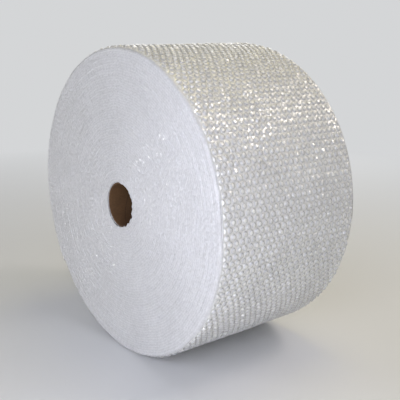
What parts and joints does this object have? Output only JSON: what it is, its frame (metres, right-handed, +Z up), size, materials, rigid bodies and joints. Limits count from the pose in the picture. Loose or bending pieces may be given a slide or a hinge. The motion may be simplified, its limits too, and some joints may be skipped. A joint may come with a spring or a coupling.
{
  "type": "bubble wrap roll",
  "caption": "Wide roll of clear bubble film wound on an open cardboard core, lying on its side, for wrapping and cushioning goods in shipping packs.",
  "frame": {"origin": "centre of the core's bore, halfway along the film's width", "axes": "+Y along the core, +Z up, the roll lying on its side on its flat spot"},
  "size_m": [0.5569, 0.3048, 0.5524],
  "materials": {
    "bubble_film": "milky, softly glossy clear polyethylene film, many turns deep",
    "kraft_cardboard": "matt brown kraft board with a spiral seam"
  },
  "bodies": {
    "root": {"bubble_film_roll": "bubble_film", "core_tube": "kraft_cardboard"}
  },
  "joints": []
}
